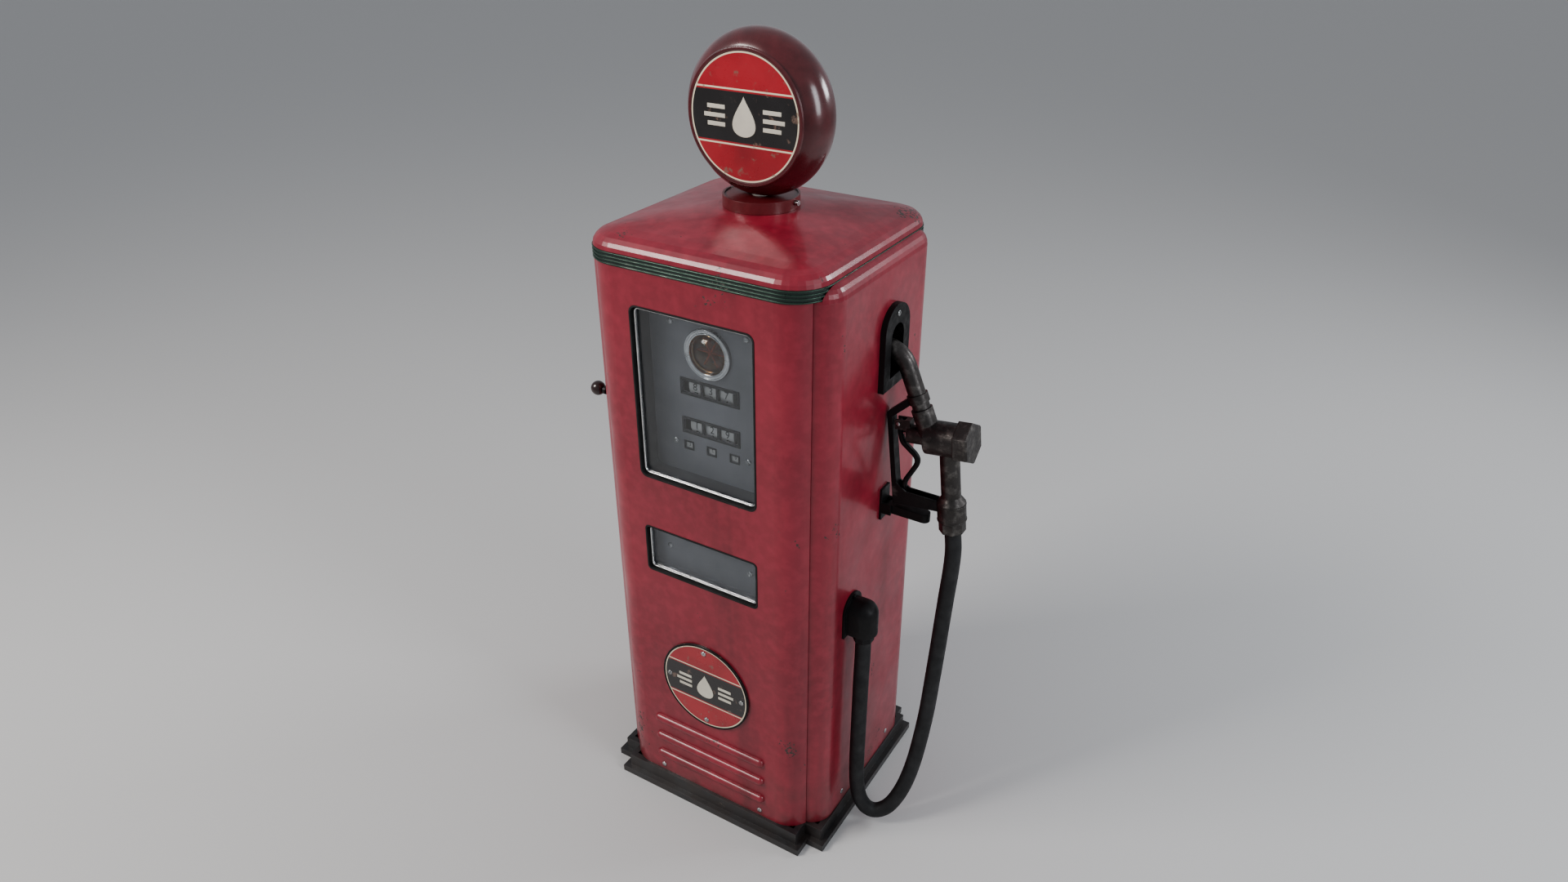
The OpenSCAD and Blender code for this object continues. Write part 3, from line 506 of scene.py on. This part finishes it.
def text_mesh(text, size):
    """Flat figure, cut into millimetre strips so that it can follow a wheel."""
    curve = bpy.data.curves.new("digit", "FONT")
    curve.body = text
    curve.size = size
    curve.align_x = "CENTER"
    curve.align_y = "CENTER"
    curve.resolution_u = 4
    obj = bpy.data.objects.new("digit", curve)
    bpy.context.scene.collection.objects.link(obj)
    bpy.context.view_layer.update()
    mesh = bpy.data.meshes.new_from_object(obj)
    bpy.data.objects.remove(obj)
    bm = bmesh.new()
    bm.from_mesh(mesh)
    for i in range(-11, 12):
        parts = list(bm.verts) + list(bm.edges) + list(bm.faces)
        bmesh.ops.bisect_plane(bm, geom=parts, plane_co=(0, i * 0.001, 0), plane_no=(0, 1, 0))
    bm.to_mesh(mesh)
    bm.free()
    return mesh


DIGITS = [text_mesh(str(d), 0.026) for d in range(10)]


def add_wheel_digits(node, body, shown):
    """Ten digits round a counter wheel, with the shown one at the window."""
    lo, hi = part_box(node)
    centre = (lo + hi) / 2
    r = (hi.z - lo.z) / 2 + 0.0003
    bm = bmesh.new()
    for d, mesh in enumerate(DIGITS):
        offset = math.radians(36 * (d - shown))
        for v in add_copy(bm, mesh):
            a = v.co.y / r + offset
            v.co = centre + Vector((v.co.x * 0.95, -r * math.cos(a), r * math.sin(a)))
    obj = make(node + "_digits", bm, "ink_dark", body, smooth=False)


for index, shown in ((1, 8), (2, 3), (3, 7)):
    add_wheel_digits(f"sale_wheel_{index}", f"sale_{index}", shown)
for index, shown in ((1, 1), (2, 2), (3, 9)):
    add_wheel_digits(f"volume_wheel_{index}", f"volume_{index}", shown)


# ---- trim: ridges, bezels and rims ----

def rounded_rectangle(w, d, r, z=0.0, steps=10):
    """Points round a rectangle with round corners, about the origin, in X and Y."""
    points = []
    for cx, cy, start in ((1, 1, 0), (-1, 1, 90), (-1, -1, 180), (1, -1, 270)):
        for i in range(steps + 1):
            a = math.radians(start + 90 * i / steps)
            x = cx * (w / 2 - r) + r * math.cos(a)
            y = cy * (d / 2 - r) + r * math.sin(a)
            points.append(Vector((x, y, z)))
    return points


def ring_points(r, count=96):
    return [Vector((x, y, 0)) for x, y in circle(r, count)]


def closed_bead(bm, points, profile):
    """Sweeps a profile of (outward, along Z) pairs round a closed flat loop."""
    rings = []
    for i, p in enumerate(points):
        way = (points[(i + 1) % len(points)] - points[i - 1]).normalized()
        out = Vector((way.y, -way.x, 0))
        rings.append([bm.verts.new(p + out * u + Vector((0, 0, v))) for u, v in profile])
    skin(bm, rings, closed=True)


def stand_up(bm, y, z):
    """Turns what lies in X and Y to stand in X and Z, facing -Y, at the given place."""
    move(bm, Matrix.Translation((0, y, z)) @ turn(90, "X"))


def add_band_ridges():
    count, step, first = 4, 0.008, 0.0025
    lo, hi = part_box("trim_band")
    w, d = hi.x - lo.x, hi.y - lo.y
    bm = bmesh.new()
    for i in range(count):
        loop = rounded_rectangle(w - 0.001, d - 0.001, 0.086, lo.z + first + i * step)
        closed_bead(bm, loop, circle(0.0019, 10))
    # The ridges take the dark metal whose green tint is a painted reflection
    make("band_ridges", bm, "ridge_metal_green_reflection", "cabinet")


BEZEL = [(0.0, 0.0), (0.0045, 0.0), (0.0052, 0.002), (0.0045, 0.0052), (0.003, 0.0064),
         (0.001, 0.0058), (0.0, 0.004)]
LENS_RIM = [(-0.004, 0.0), (0.004, 0.0), (0.0052, 0.0025), (0.0035, 0.006), (0.0, 0.0072),
            (-0.0035, 0.006), (-0.005, 0.0025)]
BADGE_RIM = [(-0.002, 0.0), (0.002, 0.0), (0.0022, 0.001), (0.0, 0.0024), (-0.0022, 0.001)]
GLASS_Y = FACE_Y + 0.0138
LENS_SEAT_Y = -0.0585


def add_bezel(name, window, corner):
    """Bright moulding against the glass, inside the gasket."""
    w, h, centre_z = window
    bm = bmesh.new()
    closed_bead(bm, rounded_rectangle(w - 0.022, h - 0.022, corner), BEZEL)
    stand_up(bm, GLASS_Y, centre_z)
    make(name, bm, "chrome_trim", "cabinet")


def add_lens_rim(name, behind):
    bm = bmesh.new()
    closed_bead(bm, ring_points(LENS_R - 0.0005), LENS_RIM)
    stand_up(bm, LENS_SEAT_Y, GLOBE_Z)
    if behind:
        move(bm, turn(180, "Z"))
    make(name, bm, "globe_case", "cabinet")


def add_badge_rim():
    bm = bmesh.new()
    closed_bead(bm, ring_points(BADGE_R - 0.0025), BADGE_RIM)
    stand_up(bm, BADGE_FACE_Y + 0.0002, BADGE_Z)
    make("badge_rim", bm, "iron_black", "cabinet")


add_band_ridges()
add_bezel("dial_window_bezel", DIAL_WINDOW, 0.010)
add_bezel("lower_window_bezel", LOWER_WINDOW, 0.006)
add_lens_rim("front_lens_rim", False)
add_lens_rim("rear_lens_rim", True)
add_badge_rim()


# ---- generic motif: a fuel drop between bars ----

LENS_FACE_Y = -0.064
MOTIF_DEPTH = 0.0012
BARS = ((-1, 0.66), (0, 0.72), (1, 0.66))


def add_motif(name, y, z, size, behind=False):
    """Cream drop with three bars on both sides, for a round sign's dark band."""
    bm = bmesh.new()
    drop = []
    for i in range(40):
        t = 2 * math.pi * i / 40
        wide = math.sin(t) * math.sin(t / 2) ** 1.6
        drop.append(bm.verts.new((0.30 * size * wide, (0.30 * math.cos(t) + 0.02) * size, 0)))
    bm.faces.new(drop)
    for side in (-1, 1):
        for row, reach in BARS:
            x0, x1 = side * 0.34 * size, side * reach * size
            low, high = (row * 0.13 - 0.032) * size, (row * 0.13 + 0.032) * size
            corners = ((x0, low, 0), (x1, low, 0), (x1, high, 0), (x0, high, 0))
            bm.faces.new([bm.verts.new(v) for v in corners])
    raised = bmesh.ops.extrude_face_region(bm, geom=list(bm.faces))
    tops = [v for v in raised["geom"] if isinstance(v, bmesh.types.BMVert)]
    bmesh.ops.translate(bm, vec=(0, 0, MOTIF_DEPTH), verts=tops)
    stand_up(bm, y, z)
    if behind:
        move(bm, turn(180, "Z"))
    make(name, bm, "ink_cream", "cabinet", smooth=False)


add_motif("globe_front_motif", LENS_FACE_Y, GLOBE_Z, LENS_R)
add_motif("globe_rear_motif", LENS_FACE_Y, GLOBE_Z, LENS_R, behind=True)
add_motif("badge_motif", BADGE_FACE_Y, BADGE_Z, 0.120)


# ---- screws ----

SCREW_HEAD = [(0.0070, 0.0), (0.0070, 0.0010), (0.0066, 0.0018), (0.0056, 0.0025), (0.0040, 0.0030),
              (0.0020, 0.0033)]
SLOT_SIZE, SLOT_Z = (0.0016, 0.02, 0.003), 0.0034
BADGE_SCREW_R = 0.110


def loose_object(bm):
    """Puts a bmesh into the scene for a moment, for use in a modifier."""
    obj = bpy.data.objects.new("tool", bpy.data.meshes.new("tool"))
    bm.to_mesh(obj.data)
    bm.free()
    bpy.context.scene.collection.objects.link(obj)
    return obj


def screw_mesh():
    """A domed head with a cut slot, standing on XY."""
    bm = bmesh.new()
    prism(bm, 32, SCREW_HEAD)
    bmesh.ops.recalc_face_normals(bm, faces=bm.faces)
    head = loose_object(bm)
    bm = bmesh.new()
    bmesh.ops.create_cube(bm, size=1)
    bmesh.ops.scale(bm, vec=SLOT_SIZE, verts=bm.verts)
    bmesh.ops.translate(bm, vec=(0, 0, SLOT_Z), verts=bm.verts)
    cutter = loose_object(bm)
    cut = head.modifiers.new("slot", "BOOLEAN")
    cut.operation = "DIFFERENCE"
    cut.object = cutter
    cut.solver = "EXACT"
    bpy.context.view_layer.update()
    mesh = bpy.data.meshes.new_from_object(head.evaluated_get(bpy.context.evaluated_depsgraph_get()))
    bpy.data.objects.remove(head)
    bpy.data.objects.remove(cutter)
    return mesh


def screw_places():
    """Place and outward direction of each screw."""
    front, right = (0, -1, 0), (1, 0, 0)
    places = [((x, -side * FACE_Y, 0.074), (0, side, 0)) for x in (-0.156, 0.156) for side in (-1, 1)]
    places += [((side * WALL_X, y, 0.090), (side, 0, 0)) for side in (-1, 1) for y in (-0.130, 0.130)]
    places += [((WALL_X + 0.014, NOZZLE_AT[1], 1.410), right)]
    places += [((x, PLATE_Y, z), front) for x in (-0.100, 0.100) for z in (1.091, 1.390)]
    places += [((x, PAN_Y, 0.803), front) for x in (-0.116, 0.116)]
    places += [((x, BADGE_FACE_Y, BADGE_Z + z), front) for z, x in circle(BADGE_SCREW_R, 4)]
    return places


def add_screws():
    source = screw_mesh()
    bm = bmesh.new()
    for i, (at, way) in enumerate(screw_places()):
        outward = Vector(way).to_track_quat("Z", "Y").to_matrix().to_4x4()
        place = Matrix.Translation(at) @ outward @ turn(25 + 67 * i, "Z")
        move(bm, place, add_copy(bm, source))
    screws = make("screw_heads", bm, "steel_bright", "cabinet")
    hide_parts("screws")


add_screws()


# ---- dial details ----

COUNTER_HALF_W, COUNTER_HALF_H = 0.072, 0.014
DIVIDER_XS = (-0.021, 0.021)
PRICE_HALF_W, PRICE_HALF_H = 0.010, 0.008
PRICE_FACE_Y = (-0.2172, -0.2168)
PRICE_DIGITS, PRICE_SCALE = (2, 5, 9), 0.45
DIAL_FACE_Y = PLATE_Y - 0.0006
SIGHT_RING = [(-0.0073, 0.0), (-0.0073, 0.005), (-0.0060, 0.0072), (-0.0035, 0.0078), (-0.002, 0.0062),
              (0.002, 0.0062), (0.0035, 0.0082), (0.0060, 0.0078), (0.0074, 0.0055), (0.0075, 0.0)]
SIGHT_RING_R = 0.0535


def block(bm, x0, x1, y0, y1, z0, z1):
    v = [bm.verts.new(p) for p in ((x0, y0, z0), (x1, y0, z0), (x1, y1, z0), (x0, y1, z0),
                                   (x0, y0, z1), (x1, y0, z1), (x1, y1, z1), (x0, y1, z1))]
    for f in ((0, 1, 2, 3), (4, 5, 6, 7), (0, 1, 5, 4), (1, 2, 6, 5), (2, 3, 7, 6), (3, 0, 4, 7)):
        bm.faces.new([v[i] for i in f])


def block_frame(bm, x0, x1, z0, z1, t, y0, y1):
    """Four bars of width t round an opening."""
    block(bm, x0 - t, x1 + t, y0, y1, z0 - t, z0)
    block(bm, x0 - t, x1 + t, y0, y1, z1, z1 + t)
    block(bm, x0 - t, x0, y0, y1, z0, z1)
    block(bm, x1, x1 + t, y0, y1, z0, z1)


def add_window_frames():
    """Dark frames round the counter and price windows, with dividers between wheels."""
    back = DIAL_FACE_Y + 0.0004
    bm = bmesh.new()
    for z in (SALE_Z, VOLUME_Z):
        low, high = z - COUNTER_HALF_H, z + COUNTER_HALF_H
        block_frame(bm, -COUNTER_HALF_W, COUNTER_HALF_W, low, high, 0.007, DIAL_FACE_Y - 0.0022, back)
        for x in DIVIDER_XS:
            block(bm, x - 0.0035, x + 0.0035, DIAL_FACE_Y - 0.0015, back, low, high)
    for x in PRICE_XS:
        block_frame(bm, x - PRICE_HALF_W, x + PRICE_HALF_W, PRICE_Z - PRICE_HALF_H,
                    PRICE_Z + PRICE_HALF_H, 0.0035, DIAL_FACE_Y - 0.0016, back)
    frames = make("dial_window_frames", bm, "ink_dark", "cabinet", smooth=False, bevel=0.0006)


def add_price_drums():
    bm = bmesh.new()
    for x in PRICE_XS:
        block(bm, x - PRICE_HALF_W, x + PRICE_HALF_W, *PRICE_FACE_Y,
              PRICE_Z - PRICE_HALF_H, PRICE_Z + PRICE_HALF_H)
    make("price_drum_faces", bm, "wheel_white", "cabinet", smooth=False)
    bm = bmesh.new()
    for x, digit in zip(PRICE_XS, PRICE_DIGITS):
        for v in add_copy(bm, DIGITS[digit]):
            flat = v.co * PRICE_SCALE
            v.co = Vector((x + flat.x, PRICE_FACE_Y[0] - 0.0002, PRICE_Z + flat.y))
    make("price_digits", bm, "ink_dark", "cabinet", smooth=False)


def add_sight_ring():
    """Turned ring with a rolled edge, in place of the plain one."""
    bm = bmesh.new()
    closed_bead(bm, ring_points(SIGHT_RING_R), SIGHT_RING)
    stand_up(bm, PLATE_Y, SIGHT_Z)
    ring = make("sight_ring_turned", bm, "chrome_trim", "cabinet")
    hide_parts("sight_ring")


add_window_frames()
add_price_drums()
add_sight_ring()


# ---- nozzle: drawn upright about the crossing of its axes, then leaned ----

HUNG = Matrix.Translation(NOZZLE_AT) @ turn(NOZZLE_LEAN, "Y")
CAP_HEX = [(0.0490, 0), (0.0505, 0.0015), (0.0505, 0.0325), (0.0470, 0.0358)]
CAP_RING = [(0.0330, 0.0340), (0.0330, 0.0358), (0.0315, 0.0359), (0.0300, 0.0352), (0.010, 0.0350)]
CAP_BOSS = [(0.0085, 0.0345), (0.0085, 0.0356), (0.0070, 0.0360)]
CAP_X = 0.024
NUT = [(0.0300, -0.2364), (0.0320, -0.2345), (0.0320, -0.2095), (0.0300, -0.2073)]
BEADS = ((-0.1640, 0.0335), (-0.2035, 0.0337))


def add_nozzle_piece(name, bm, replaced=None, bevel=0.0):
    piece = make(name, bm, "nozzle_metal", "nozzle", bevel=bevel)
    if replaced:
        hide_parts(replaced)


def add_valve_cap():
    bm = bmesh.new()
    prism(bm, 6, CAP_HEX)
    prism(bm, 40, CAP_RING)
    prism(bm, 24, CAP_BOSS)
    move(bm, HUNG @ Matrix.Translation((CAP_X, 0, 0)) @ turn(90, "Y"))
    add_nozzle_piece("valve_cap_hex", bm, "valve_cap", 0.0012)


def add_hose_nut():
    bm = bmesh.new()
    prism(bm, 8, NUT, math.radians(22.5))
    move(bm, HUNG)
    add_nozzle_piece("hose_nut_octagon", bm, "hose_nut", 0.0010)


def add_handle_beads():
    bm = bmesh.new()
    for z, r in BEADS:
        bead = bmesh.new()
        closed_bead(bead, ring_points(r, 48), circle(0.0014, 8))
        absorb(bm, bead, HUNG @ Matrix.Translation((0, 0, z)))
    add_nozzle_piece("handle_beads", bm)


add_valve_cap()
add_hose_nut()
add_handle_beads()


# ---- trigger ----

# Middle line in millimetres, from the pin down to the tip, in the upright nozzle
LEVER = [(-119.5, 20), (-119.5, 0), (-115, -23), (-100, -39), (-86, -53), (-81, -66), (-85, -80),
         (-98, -100), (-114.5, -125), (-121, -149), (-121, -165)]
LEVER_HALF_T, LEVER_HALF_W = 0.0062, 0.0069
LEVER_BOSS = [(0.0078, -0.0070), (0.0088, -0.0062), (0.0088, 0.0062), (0.0078, 0.0070)]
PIN_HEAD = [(0.0048, 0.0120), (0.0048, 0.0136), (0.0040, 0.0144), (0.0020, 0.0148)]


def squared(x, half):
    """Pushes a circle's coordinate outward, for a section between round and square."""
    return math.copysign(abs(x) ** 0.6, x) * half


def add_trigger():
    """Smooth curved lever with a boss on its pin, in place of the straight-sided one."""
    line = smooth_line([Vector((x, 0, z)) / 1000 for x, z in LEVER], 6)
    last = len(line) - 1
    bm = bmesh.new()
    rings = []
    for i, p in enumerate(line):
        way = (line[min(i + 1, last)] - line[max(i - 1, 0)]).normalized()
        across = way.cross(Vector((0, 1, 0)))
        rings.append([bm.verts.new(p + across * squared(c, LEVER_HALF_T)
                                   + Vector((0, squared(q, LEVER_HALF_W), 0)))
                      for c, q in circle(1, 20)])
    skin(bm, rings)
    boss = bmesh.new()
    prism(boss, 32, LEVER_BOSS)
    absorb(bm, boss, Matrix.Translation(TRIGGER_PIN) @ turn(90, "X"))
    move(bm, HUNG)
    lever = make("trigger_smooth", bm, "iron_black", "trigger_lever")
    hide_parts("trigger")


def add_pin_heads():
    bm = bmesh.new()
    for side in (-1, 1):
        pin = bmesh.new()
        prism(pin, 20, PIN_HEAD)
        absorb(bm, pin, HUNG @ Matrix.Translation(TRIGGER_PIN) @ turn(90 * side, "X"))
    make("trigger_pin_heads", bm, "steel_bright", "nozzle")


add_trigger()
add_pin_heads()
